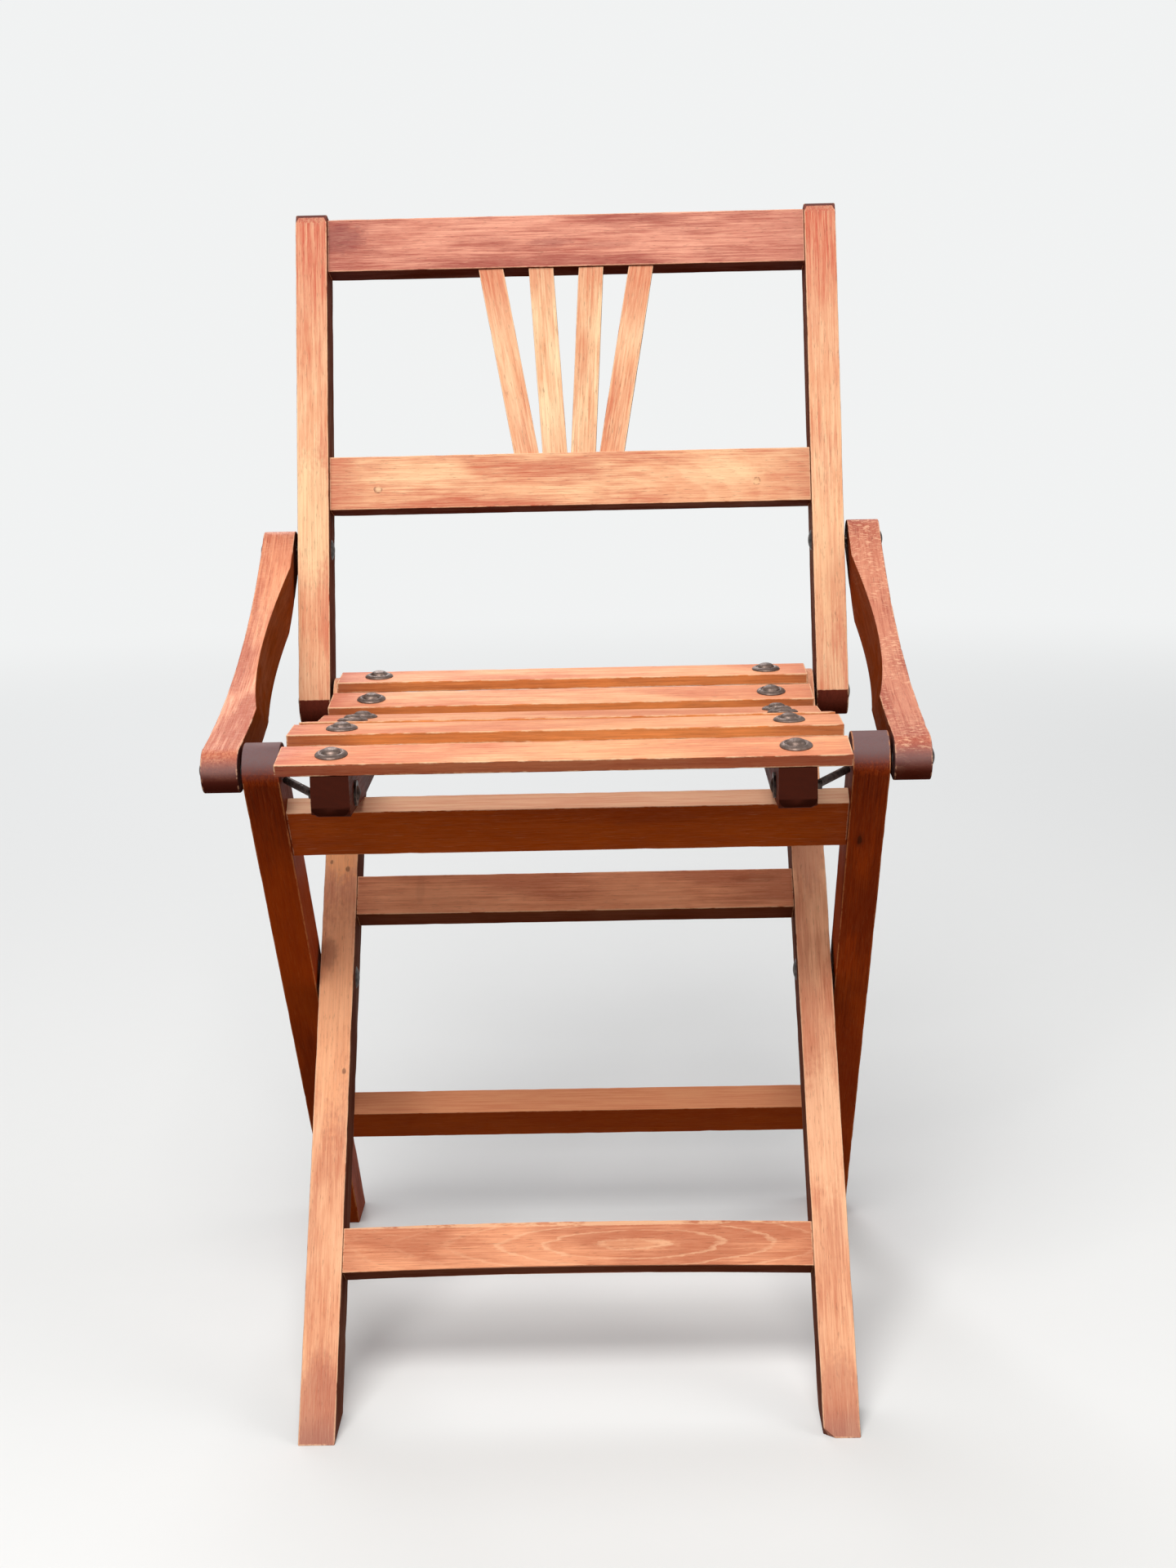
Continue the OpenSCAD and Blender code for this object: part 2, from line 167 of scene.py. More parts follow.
def makeGroup(name, takes, build, kind="NodeSocketFloat"):
    # takes has a number, a vector or None (a vector that is always linked) for each input;
    # build gets the input sockets in the same order and gives the output sockets by label
    group = bpy.data.node_groups.new(name, "ShaderNodeTree")
    for label, value in takes.items():
        takeKind = "NodeSocketFloat" if isinstance(value, (int, float)) else "NodeSocketVector"
        socket = group.interface.new_socket(name=label, in_out="INPUT", socket_type=takeKind)
        if value is not None:
            socket.default_value = value
    gives = build(*group.nodes.new("NodeGroupInput").outputs[:len(takes)])
    for label in gives:
        group.interface.new_socket(name=label, in_out="OUTPUT", socket_type=kind)
    leave = group.nodes.new("NodeGroupOutput")
    for label, value in gives.items():
        feed(leave.inputs[label], value)
    return group


def useGroup(group, *values):
    return addStep("ShaderNodeGroup", values, node_tree=group)


# effects that the timber materials share
# each noise row: waves per millimetre along, across and through the board, detail, roughness, shift
grainSettings = {
    "noises": {
        "wander": ((0.010, 0.05, 0.05), 2, 0.5),
        "wobble": ((0.09, 0.4, 0.4), 4, 0.62, (5, 5, 5)),
        "gaps": ((0.03, 0.12, 0.12), 3, 0.6, (1, 2, 9)),
        "streaks": ((0.026, 0.95, 0.95), 5, 0.72, (3.1, 0, 7.7)),
        "flecks": ((0.085, 1.25, 1.25), 3, 0.6, (6, 3, 5)),
        "pores": ((0.15, 1.7, 1.7), 3, 0.6, (1, 8, 2)),
        "hairs": ((0.11, 3.6, 3.6), 3, 0.6, (9, 4, 1)),
        "blotches": ((0.009, 0.035, 0.035), 3, 0.55, (2, 5, 4)),
        "clouds": ((0.03, 0.09, 0.09), 3, 0.55, (7, 3, 8)),
    },
    # the noise values between which each mask rises
    "masks": {"streaks": (0.36, 0.66), "pores": (0.59, 0.69), "hairs": (0.35, 0.68), "flecks": (0.60, 0.72),
              "blotches": (0.40, 0.62), "clouds": (0.30, 0.72)},
    # start, full, fade and end of the late wood and of its pale line, as shares of a ring
    "ring": (0, 0.78, 0.86, 1), "line": (0.78, 0.92, 0.94, 1),
    "lineFade": (9, 16, 1, 0.25), "lineGaps": (0.30, 0.48),
    "wobbleWidth": 2.2, "blotchStreaks": 0.38, "hairRelief": 0.55, "poreRelief": 0.6, "streakRelief": 0.35,
}


def grainMasks(place, heart, bow, ringWidth, wander, oval):
    # place is in millimetres of the board: X along the grain, Y across it, Z through it
    settings = grainSettings
    found = {name: noiseOn(place, *row) for name, row in settings["noises"].items()}
    x, y, z = split(vectorStep("SUBTRACT", place, heart))
    depth = withShares(z, (bow, times(x, x)))
    long = times(x, oval)
    radius = root(withShares(times(y, y), (depth, depth), (long, long)))
    radius = withShares(radius, (found["wander"], wander), (found["wobble"], settings["wobbleWidth"]))
    saw = fraction(over(radius, ringWidth))
    lines = times(riseAndFall(saw, *settings["line"]), span(unsigned(long), *settings["lineFade"]))
    gives = {"Rings": riseAndFall(saw, *settings["ring"]),
             "Ring Lines": times(lines, span(found["gaps"], *settings["lineGaps"]))}
    streaks = found["streaks"]
    found["blotches"] = withShares(found["blotches"], (minus(streaks, 0.5), settings["blotchStreaks"]))
    for name, (low, high) in settings["masks"].items():
        gives[name.capitalize()] = span(found[name], low, high)
    pits = times(gives["Pores"], settings["poreRelief"])
    relief = minus(times(found["hairs"], settings["hairRelief"]), pits)
    return {**gives, "Relief": withShares(relief, (streaks, settings["streakRelief"]))}


def reachInside(place, half, roundLow, roundHigh):
    # how far a point lies inside its bar's ends, across sides and through sides; a round end has no end face
    farOff = 100
    x, y, z = split(place)
    halfX, halfY, halfZ = split(half)
    turn = minus(halfX, halfY)
    high = times(most(minus(x, turn), 0), roundHigh)
    low = times(most(minus(0, plus(x, turn)), 0), roundLow)
    past = most(high, low)
    out = root(withShares(times(y, y), (past, past)))
    along = withShares(minus(halfX, unsigned(x)), (past, farOff))
    return {"Away": join(along, minus(halfY, out), minus(halfZ, unsigned(z)))}


wearSettings = {
    "rough": ((0.06, 0.22, 0.22), 4, 0.65, (6, 1, 3)), "fine": ((0.5, 0.9, 0.9), 3, 0.6),
    "narrowest": 0.35, "fineShare": 1.3, "core": 0.3, "softBreak": 0.12,
}


def arrisWear(place, away, width, gap):
    # how near a point is to an arris of its bar, broken up as rubbed varnish is
    x, y, z = split(away)
    second = most(least(x, y), least(most(x, y), z))
    rough, fine = [noiseOn(place, *wearSettings[name]) for name in ("rough", "fine")]
    spread = times(width, withShares(wearSettings["narrowest"], (fine, wearSettings["fineShare"])))
    near = span(second, spread, times(spread, wearSettings["core"]))
    return {"Worn": times(near, span(rough, gap, plus(gap, wearSettings["softBreak"])))}


endSettings = {"rough": ((0.03, 0.09, 0.09), 3, 0.6, (4, 4, 9)), "shortest": 0.45}


def endShade(place, half, reach, atLow, atHigh):
    # shade towards the two ends of a bar, as dirt and old stain gather at the joints
    reach = times(reach, plus(endSettings["shortest"], noiseOn(place, *endSettings["rough"])))
    along, halfway = split(place)[0], split(half)[0]
    high = times(span(minus(halfway, along), reach, 0), atHigh)
    return {"Shade": most(high, times(span(plus(halfway, along), reach, 0), atLow))}


faceSettings = {
    # millimetres: softness of the line between two sides, the soft middle, the soft and ragged end line
    "sideSoft": 0.12, "middle": (-5, 1), "squareSoft": 0.1, "endSoft": 0.35, "ragged": 1.2,
    "raggedNoise": (0.3, 0.3, 0.3),
}


def barSides(place, half, away, lowEnd, highEnd):
    # which side of its bar a point lies on: Across and Through sides, plus and minus, and square ends
    settings = faceSettings
    awayX, awayY, awayZ = split(away)
    x, y, z = split(place)
    halfX = split(half)[0]
    through = span(minus(awayY, awayZ), -settings["sideSoft"], settings["sideSoft"])
    across = minus(1, through)
    low, high = settings["middle"]
    gives = {}
    for label, mask, side in (("Across", across, y), ("Through", through, z)):
        gives[label + " Plus"] = times(mask, span(side, low, high))
        gives[label + " Minus"] = times(mask, span(side, high, low))
    square = span(minus(least(awayY, awayZ), awayX), -settings["squareSoft"], settings["squareSoft"])
    ragged = plus(x, times(minus(noiseOn(place, settings["raggedNoise"]), 0.5), settings["ragged"]))
    ends = minus(lowEnd, plus(halfX, ragged)), minus(highEnd, minus(halfX, ragged))
    ends = [span(end, -settings["endSoft"], settings["endSoft"]) for end in ends]
    return {**gives, "End Grain": most(square, times(most(*ends), across))}


raySettings = {
    "bend": ((0.05, 0.05, 0.05), 2, 0.5), "bendSize": 16, "lean": 0.8,
    "lines": ((0.85, 0.24, 0.24), 3, 0.6, (2, 2, 6)), "lineSpan": (0.50, 0.62),
    "patches": ((0.03, 0.06, 0.06), 3, 0.6, (8, 1, 1)), "patchSpan": (0.34, 0.52),
}


def raySilk(place):
    # short pale silks across the grain, as planed beech shows on some faces
    settings = raySettings
    bend = minus(noiseOn(place, *settings["bend"]), 0.5)
    x, y, z = split(place)
    lean = withShares(times(bend, settings["bendSize"]), (y, settings["lean"]))
    lines = noiseOn(join(plus(x, lean), y, z), *settings["lines"])
    patches = span(noiseOn(place, *settings["patches"]), *settings["patchSpan"])
    return {"Silk": times(span(lines, *settings["lineSpan"]), patches)}


markSettings = {
    # distances as shares of the mark's half sizes: its edge, the middle of its ring and the ring's edge
    "rim": ((0.3, 0.5, 0.5), 3, 0.6), "rimShare": 0.8, "edge": (1.5, 0.95),
    "ringAt": 1.35, "ringEdge": (0.22, 0.05),
    "gaps": ((0.35, 0.35, 0.35), 2, 0.5, (4, 7, 2)), "gapSpan": (0.42, 0.6),
}


def ovalMark(place, centre, reach):
    # one soft-edged oval mark at centre, with its half sizes in reach
    settings = markSettings
    far = vectorStep("LENGTH", vectorStep("DIVIDE", vectorStep("SUBTRACT", place, centre), reach))
    far = withShares(far, (noiseOn(place, *settings["rim"]), settings["rimShare"]))
    ring = span(unsigned(minus(far, settings["ringAt"])), *settings["ringEdge"])
    broken = span(noiseOn(place, *settings["gaps"]), *settings["gapSpan"])
    return {"Mark": span(far, *settings["edge"]), "Ring": times(ring, broken)}


grainGroup = makeGroup("boardGrain", {
    "Place": None, "Heart": (0, 0, 30), "Bow": 0, "Ring Width": 2.6, "Wander": 10, "Oval": 0}, grainMasks)
wearGroup = makeGroup("arrisWear", {"Bar": None, "Away": None, "Width": 1.2, "Break": 0.5}, arrisWear)
endGroup = makeGroup("endShade", {
    "Bar": None, "Half": None, "Reach": 30, "At Low End": 1, "At High End": 1}, endShade)
markGroup = makeGroup("ovalMark", {"Bar": None, "Centre": (0, 0, 0), "Reach": (5, 3, 3)}, ovalMark)
faceGroup = makeGroup("barSides", {
    "Bar": None, "Half": None, "Away": None, "Low End": 0, "High End": 0}, barSides)
reachGroup = makeGroup("barReach", {
    "Bar": None, "Half": None, "Round Low": 0, "Round High": 0}, reachInside, "NodeSocketVector")
rayGroup = makeGroup("raySilk", {"Place": None}, raySilk)
print("shared effects ready")


# timber finishes
def toLinear(colour):
    # an sRGB colour from 0 to 255 as the shader's linear colour
    out = []
    for part in colour:
        c = part / 255
        out.append(c / 12.92 if c <= 0.04045 else ((c + 0.055) / 1.055) ** 2.4)
    return (*out, 1)


def darker(colour, share):
    return [part * share for part in colour]


plainLook = {
    # stained beech in sRGB: light and dark are the clear stain and its streaks, red the heavy stain,
    # deep the darker colour of the sides, partly a less faded stain and partly painted shade, bare the rubbed
    # arrises and the pale figure, patina the grey ends, a painted shade colour darkens faces turned down near
    # the ends, cut the end grain;
    # ends are the stain's share at the low and high end and its reach, grey the same for the patina;
    # sides is the share of the deep colour across plus, across minus, through plus, through minus, partly
    # stain and partly painted shade;
    # greyFacing are spans of the normal's height where the patina comes in, endGrain the cut ends' depths;
    # a paler top face is painted light, as light from above falls on it
    "bow": 0, "oval": 0, "ringWidth": 4, "wander": 10, "rings": 0.14, "ringLines": 0, "silk": 0,
    "figure": 0.75, "wornWidth": 0.9, "wornBreak": 0.38, "wornTop": 0, "gloss": 0.08, "curvedSides": 0,
    "roundEnds": (0, 0), "endGrain": (0, 0), "grey": (0, 0, 20), "patina": (124, 96, 94),
    "greyFacing": (), "under": None, "cut": None,
}
timberLooks = {
    "backPost": {
        "light": (255, 215, 171), "dark": (222, 136, 96), "red": (200, 84, 64), "deep": (92, 34, 14),
        "bare": (252, 208, 168), "cut": (102, 44, 32), "blotch": 0.58, "ends": (0.40, 1, 150),
        "sides": (0, 0.15, 0.9, 0.9), "endGrain": (12.6, 0), "grey": (0, 0.40, 9),
        "heart": (0, 4, 40), "ringWidth": 4.4, "roundEnds": (1, 0)},
    "topRail": {
        "light": (243, 173, 148), "dark": (184, 98, 82), "red": (156, 70, 64), "deep": (86, 30, 10),
        "bare": (248, 194, 162), "blotch": 0.85, "ends": (0.9, 0.4, 60), "figure": 0.85, "gloss": 0.06,
        "sides": (0.1, 0.9, 0, 0.2), "heart": (0, 10, 46), "bow": 0.0002, "wornBreak": 0.34},
    "lowerBackRail": {
        "light": (255, 212, 166), "dark": (216, 126, 90), "red": (190, 88, 66), "deep": (86, 30, 10),
        "bare": (252, 208, 168), "blotch": 0.8, "ends": (0.85, 0.5, 40), "figure": 0.7,
        "sides": (0.1, 0.9, 0, 0.2), "heart": (40, 4, 30), "bow": 0.0004, "wornBreak": 0.36},
    "splat": {
        "light": (255, 232, 187), "dark": (226, 148, 104), "red": (206, 106, 74), "deep": (80, 32, 14),
        "bare": (252, 212, 172), "blotch": 0.65, "ends": (0.3, 0.75, 40), "figure": 0.8,
        "sides": (0.7, 0.7, 0, 0.2), "heart": (0, 6, 30), "ringWidth": 3.4},
    "armLeft": {
        "light": (250, 177, 136), "dark": (206, 112, 78), "red": (168, 74, 56), "deep": (140, 66, 26),
        "bare": (250, 200, 165), "blotch": 0.8, "ends": (1, 0.75, 60), "figure": 0.6, "silk": 0.12,
        # the arms' curved sides take the deep colour, partly painted shade, and the faces turned down near
        # their round ends a painted shade
        "sides": (0, 0.9, 0, 0), "curvedSides": 0.95, "grey": (0.95, 0.15, 30),
        "greyFacing": ((0.86, 0.12), (-0.55, 0.05)), "patina": (132, 98, 95), "under": (80, 33, 25),
        "heart": (0, 12, 26), "wornBreak": 0.48, "roundEnds": (1, 1)},
    "innerLeg": {
        "light": (255, 197, 154), "dark": (208, 118, 82), "red": (180, 86, 64), "deep": (84, 27, 8),
        "bare": (250, 202, 164), "blotch": 0.45, "ends": (0.55, 0.25, 60), "figure": 0.6,
        "sides": (0, 0.2, 0.88, 0.88), "grey": (0.45, 0.3, 22), "patina": (140, 100, 94),
        "heart": (0, 6, 36), "ringWidth": 4.2, "roundEnds": (0, 1)},
    "innerRail": {
        "light": (247, 173, 131), "dark": (196, 108, 70), "red": (166, 80, 54), "deep": (98, 35, 6),
        "bare": (250, 202, 162), "blotch": 0.55, "ends": (0.6, 0.6, 22), "figure": 0.48, "gloss": 0.06,
        "sides": (0.1, 0.85, 0, 0.2), "heart": (0, 3, 34)},
    # outer legs and rails: a darker amber stain, and partly painted shade, as their fronts turn down away
    # from the light
    "outerLeg": {
        "light": (180, 72, 6), "dark": (154, 50, 4), "red": (96, 22, 8), "deep": (128, 48, 6),
        "bare": (224, 150, 98), "blotch": 0.6, "ends": (0.4, 1, 110), "figure": 0.3, "gloss": 0.02,
        # the grey at the top end comes in on faces turned up, partly patina and partly a painted sheen
        "sides": (0, 0.2, 0.3, 0.3), "grey": (0.15, 1, 30), "patina": (120, 98, 99),
        "greyFacing": ((-0.38, 0.48),), "heart": (0, 6, 36), "ringWidth": 4.2,
        "roundEnds": (0, 1)},
    "outerRail": {
        "light": (197, 90, 5), "dark": (170, 68, 4), "red": (138, 44, 4), "deep": (112, 42, 4),
        # the bare colour is raised for the top face, which is painted paler as light from above falls on it
        "bare": (255, 208, 172), "blotch": 0.4, "ends": (0.5, 0.5, 26), "figure": 0.3, "gloss": 0.02,
        "sides": (0, 0.5, 0, 0.2), "heart": (0, 3, 34), "wornTop": 1},
    "slat": {
        "light": (255, 186, 134), "dark": (216, 122, 80), "red": (194, 84, 64), "deep": (244, 140, 66),
        # the slats' fronts and bottoms take the deep colour, partly painted shade between the slats
        "bare": (254, 216, 174), "blotch": 0.5, "ends": (0.95, 0.6, 52), "sides": (0.3, 0.76, 0, 0.8),
        "grey": (0.1, 0.1, 10), "heart": (0, 5, 40), "ringWidth": 4.2, "wornBreak": 0.40},
    "bearer": {
        "light": (112, 42, 14), "dark": (84, 28, 10), "red": (64, 18, 8), "deep": (63, 21, 4),
        "bare": (140, 84, 58), "cut": (72, 27, 15), "blotch": 0.4, "ends": (0.3, 0.3, 24), "figure": 0.3,
        "gloss": 0.04, "sides": (0.2, 0.5, 0.2, 0.2), "grey": (0.1, 0.1, 18), "patina": (90, 66, 62),
        "heart": (0, 5, 40), "ringWidth": 4.2, "wornBreak": 0.6},
}
# each board takes another part of the grain: its number times these millimetres
boardShift = (61.7, 3.1, 2.3)
ovalBoard = 9
variants = {
    "outerSplat": ("splat", {"light": (255, 214, 172), "blotch": 0.85, "ends": (0.3, 1, 60)}),
    "armRight": ("armLeft", {
        "light": (220, 148, 119), "dark": (180, 92, 72), "red": (156, 66, 56), "deep": (134, 60, 26),
        "ends": (0.8, 0.8, 60), "bare": (248, 196, 160), "silk": 0.6}),
    "ovalRail": ("innerRail", {
        "oval": 0.155, "ringWidth": 3.7, "wander": 3.5, "ringLines": 0.42,
        "heart": [ovalBoard * shift + place for shift, place in zip(boardShift, (30, 1, 11.5))]}),
    # the lower outer rail is a darker copy of the outer rail, painted shade for its lower place further from
    # the light
    "lowerOuterRail": ("outerRail", {"light": (166, 71, 4), "dark": (142, 54, 4), "bare": (228, 158, 116)}),
    "frontSlat": ("slat", {
        # the front slat's front face and bottom take a darker deep colour, partly painted shade
        "sides": (0.3, 0.79, 0, 0.8), "deep": (150, 66, 40), "ends": (0.95, 0.30, 52),
        "wornWidth": 0.8, "wornBreak": 0.42}),
}
for variant, (base, changes) in variants.items():
    timberLooks[variant] = {**timberLooks[base], **changes}

# places that each worn bar carries for its material
placeLabels = ("grainPlace", "barPlace", "barHalf", "sideShare")
stainSettings = {
    # shares of the grain's masks, of the other stains and of the painted light and shade in the colour, tones
    # as shares of a colour
    "streaks": 0.58, "clouds": 0.36, "hairs": 0.24, "flecks": 0.40, "pores": (0.10, 0.36), "poreTone": 0.5,
    "endBase": 0.55, "endStreaks": 0.45, "markStreaks": 0.35, "plugRing": 0.7,
    "rubbedTone": (0.93, 0.80, 0.78), "rubbed": 0.7, "curveSpan": (0.5, 0.85),
    "unfaded": 1.07, "unfadedClouds": 0.12, "hiddenDark": 0.8, "hiddenTone": 0.62, "hiddenEnds": 0.6,
    "hiddenRed": 0.55, "cutOfRed": 0.8, "cutTone": 0.7, "grey": 0.86, "greyStreaks": 0.14,
    "underSpan": (0.2, -0.4), "worn": 0.62,
    "rough": 0.42, "roughBlotches": 0.10, "roughWorn": 0.16, "roughStreaks": 0.08, "roughUnfaded": 0.18,
    "bump": 0.35, "bumpDepth": 0.00025,
}


def layOn(colour, tone, mask, share=None):
    # tone laid over colour where the mask is, at a share of the mask's strength
    amount = mask if share is None else times(mask, share)
    return blendColour(amount, colour, toLinear(tone))


def layMarks(colour, marks, barPlace, streaks):
    for centre, reach, strength, tone, *ring in marks:
        spot = useGroup(markGroup, barPlace, centre, reach)
        thinned = minus(strength, times(streaks, stainSettings["markStreaks"] * strength))
        colour = layOn(colour, tone, spot["Mark"], thinned)
        if ring:
            colour = layOn(colour, ring[0], spot["Ring"], stainSettings["plugRing"])
    return colour


def makeTimber(name, look, marks=()):
    look = {**plainLook, **timberLooks[look]}
    settings = stainSettings
    material, tree, shader = startMaterial(name)
    grainPlace, barPlace, barHalf, sideShare = [attribute(tree, label) for label in placeLabels]
    faceSide, faceUp = split(sideShare)[:2]
    boardRow = [look[label] for label in ("heart", "bow", "ringWidth", "wander", "oval")]
    grain = useGroup(grainGroup, grainPlace, *boardRow)
    away = useGroup(reachGroup, barPlace, barHalf, *look["roundEnds"])[0]
    worn = useGroup(wearGroup, barPlace, away, look["wornWidth"], look["wornBreak"])[0]
    sides = useGroup(faceGroup, barPlace, barHalf, away, *look["endGrain"])
    stainEnds, greyEnds = [useGroup(endGroup, barPlace, barHalf, reach, low, high)[0]
                           for low, high, reach in (look["ends"], look["grey"])]
    streaks, figure = grain["Streaks"], look["figure"]

    # clear stain, heavy stain and marks, some of them painted light
    dark = withShares(times(streaks, settings["streaks"] * figure), (grain["Rings"], look["rings"]))
    dark = plus(dark, times(grain["Clouds"], settings["clouds"]), clamp=True)
    colour = blendColour(dark, toLinear(look["light"]), toLinear(look["dark"]))
    redness = times(grain["Blotches"], look["blotch"])
    ends = withShares(settings["endBase"], (streaks, settings["endStreaks"]))
    redness = most(redness, times(stainEnds, ends))
    colour = layOn(colour, look["red"], redness)
    colour = layMarks(colour, marks, barPlace, streaks)

    # fine figure of the wood
    paleLines = {"Hairs": settings["hairs"] * figure, "Flecks": settings["flecks"] * figure,
                 "Ring Lines": look["ringLines"]}
    for label, share in paleLines.items():
        if share:
            colour = layOn(colour, look["bare"], grain[label], share)
    if look["silk"]:
        colour = layOn(colour, look["bare"], useGroup(rayGroup, grainPlace)[0], look["silk"])
    poreBase, poreFigure = settings["pores"]
    colour = layOn(colour, darker(look["dark"], settings["poreTone"]), grain["Pores"],
                   poreBase + poreFigure * figure)
    # painted light: the top face is laid paler, as light from above falls on it, streaked with a deeper tone
    if look["wornTop"]:
        rubbed = [part * share for part, share in zip(look["bare"], settings["rubbedTone"])]
        pale = layOn(toLinear(look["bare"]), rubbed, streaks, settings["rubbed"])
        colour = blendColour(times(sides["Across Plus"], look["wornTop"]), colour, pale)

    # deep colour on the listed sides and curved sides, partly a less faded stain and partly painted shade,
    # and cut ends
    labels = ("Across Plus", "Across Minus", "Through Plus", "Through Minus")
    rows = [(sides[label], share) for label, share in zip(labels, look["sides"]) if share]
    unfaded = withShares(0, *rows)
    if look["curvedSides"]:
        curved = span(faceSide, *settings["curveSpan"])
        unfaded = most(unfaded, times(curved, look["curvedSides"]))
    clouds = times(grain["Clouds"], settings["unfadedClouds"])
    unfaded = times(unfaded, minus(settings["unfaded"], clouds))
    unfaded = most(unfaded, sides["End Grain"], clamp=True)
    hidden = layOn(toLinear(look["deep"]), darker(look["deep"], settings["hiddenTone"]), dark,
                   settings["hiddenDark"])
    hidden = layOn(hidden, darker(look["red"], settings["hiddenRed"]), stainEnds, settings["hiddenEnds"])
    cut = look["cut"] or darker(look["red"], settings["cutOfRed"])
    cutEnd = layOn(toLinear(cut), darker(cut, settings["cutTone"]), dark, settings["hiddenDark"])
    hidden = blendColour(sides["End Grain"], hidden, cutEnd)
    colour = blendColour(unfaded, colour, hidden)

    # grey patina, painted shade on faces turned down near the ends, and rubbed arrises
    grey = times(greyEnds, withShares(settings["grey"], (streaks, settings["greyStreaks"])))
    for low, high in look["greyFacing"]:
        grey = times(grey, span(faceUp, low, high))
    colour = layOn(colour, look["patina"], grey)
    if look["under"]:
        colour = layOn(colour, look["under"], span(faceUp, *settings["underSpan"]), stainEnds)
    colour = layOn(colour, look["bare"], worn, settings["worn"])
    feed(shader.inputs["Base Color"], colour)
    rough = withShares(settings["rough"], (grain["Blotches"], settings["roughBlotches"]),
                       (worn, settings["roughWorn"]), (streaks, settings["roughStreaks"]),
                       (unfaded, settings["roughUnfaded"]))
    feed(shader.inputs["Roughness"], rough)
    feed(shader.inputs["Specular IOR Level"], times(minus(1, unfaded), look["gloss"]))
    addBump(shader, grain["Relief"], settings["bump"], settings["bumpDepth"])
    return material


# timber pieces are worn copies of the CAD bars
barSettings = {
    "weld": 0.002, "flatAngle": 0.4, "pinReach": 3.2, "crease": 0.5, "arrisSteps": 3, "roundSteps": 4,
    # the rubbed zone along an arris, and waves per millimetre, spread per corner and spread per board
    "edgeZone": 0.9, "rubNoise": (0.09, 5.3, 3.7), "nickNoise": (0.45, 9.1, 1.9), "nickFrom": 0.25,
    "cutTolerance": 0.0002, "shadingWeight": 60,
}
plainBar = {
    # an edge shorter than boreEdge belongs to a bore and stays sharp; half is only given for a curved bar
    "cutEvery": 6, "boreEdge": 0, "bowUp": 0, "chips": (), "roundedOff": (), "half": (), "slot": "timber_red",
}


def mergedCopy(nodeName):
    shape = bmesh.new()
    shape.from_mesh(nodes[nodeName].data)
    bmesh.ops.remove_doubles(shape, verts=shape.verts, dist=barSettings["weld"] * mm)
    bmesh.ops.dissolve_limit(shape, angle_limit=math.radians(barSettings["flatAngle"]), verts=shape.verts,
                             edges=shape.edges)
    return shape


def facing(axis, wanted):
    return axis if axis.dot(Vector(wanted)) >= 0 else -axis


def barAxes(shape):
    # along the bar, across it and through it, from its two largest flat faces at right angles
    faces = sorted(shape.faces, key=lambda face: -face.calc_area())
    through = faces[0].normal.copy()
    across = next(f.normal.copy() for f in faces[1:] if abs(f.normal.dot(through)) < 0.05)
    across = (across - through * across.dot(through)).normalized()
    return through.cross(across).normalized(), across, through


def turnedAxes(shape):
    # along points up or right, across up or to the front, through to the right or the front
    along, across, through = barAxes(shape)
    along = facing(along, (1, 0, 0.6))
    across = facing(across, (0, -0.8, 0.3) if abs(along.x) < 0.5 else (0, 0.4, 1))
    return along, across, facing(through, (1, -0.5, 0.4))


def sideCentre(name):
    # the middle of a piece as seen from the side
    low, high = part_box(name)
    return (low.y + high.y) / 2, (low.z + high.z) / 2


pinCentres = [sideCentre(name) for name in ("scissor_pins", "back_hinge_pins", "arm_rear_pins",
                                            "arm_stud_right")]


def isSharp(edge, boreEdge):
    # a real arris: not at a pin hole, and not one of the short edges of a bore
    if len(edge.link_faces) != 2 or edge.calc_face_angle(0) <= barSettings["crease"]:
        return False
    middle = (edge.verts[0].co + edge.verts[1].co) / 2
    reach = barSettings["pinReach"] * mm
    if any(math.hypot(middle.y - y, middle.z - z) < reach for y, z in pinCentres):
        return False
    return edge.calc_length() >= boreEdge * mm


def bevelEdges(shape, edges, size, steps):
    bmesh.ops.bevel(shape, geom=edges, offset=size * mm, offset_type="OFFSET", segments=steps,
                    profile=0.5, affect="EDGES", material=-1, clamp_overlap=False)


def cutPlane(shape, at, normal, **options):
    return bmesh.ops.bisect_plane(shape, geom=shape.verts[:] + shape.edges[:] + shape.faces[:],
                                  plane_co=at, plane_no=normal, **options)


def roundLowerEdge(shape, side, size):
    worked = [edge for edge in shape.edges if len(edge.link_faces) == 2
              and any(face.normal.x * side > 0.9 for face in edge.link_faces)
              and any(face.normal.z < -0.8 for face in edge.link_faces)]
    bevelEdges(shape, worked, size, barSettings["roundSteps"])


def wearArrises(shape, axes, half, settings, seed, placeOf):
    # rubbed and nicked arrises, and the bow of a bar that isn't straight
    for vertex in shape.verts:
        u, v, t = placeOf(vertex.co)
        if max(half.y - abs(v), half.z - abs(t)) < barSettings["edgeZone"]:
            corner = (1 if v > 0 else 2) + (4 if t > 0 else 8)
            rub, nick = [noise.noise(Vector([a * b for a, b in zip((u, corner, seed), barSettings[kind])]))
                         for kind in ("rubNoise", "nickNoise")]
            depth = settings["rub"] * max(0, rub) + settings["nick"] * max(0, nick - barSettings["nickFrom"])
            vertex.co -= (axes[1] * math.copysign(depth, v) + axes[2] * math.copysign(depth, t)) * mm
        if settings["bowUp"] and abs(u) < half.x:
            share = u / half.x
            vertex.co += axes[1] * (settings["bowUp"] * (1 - share * share)) * mm


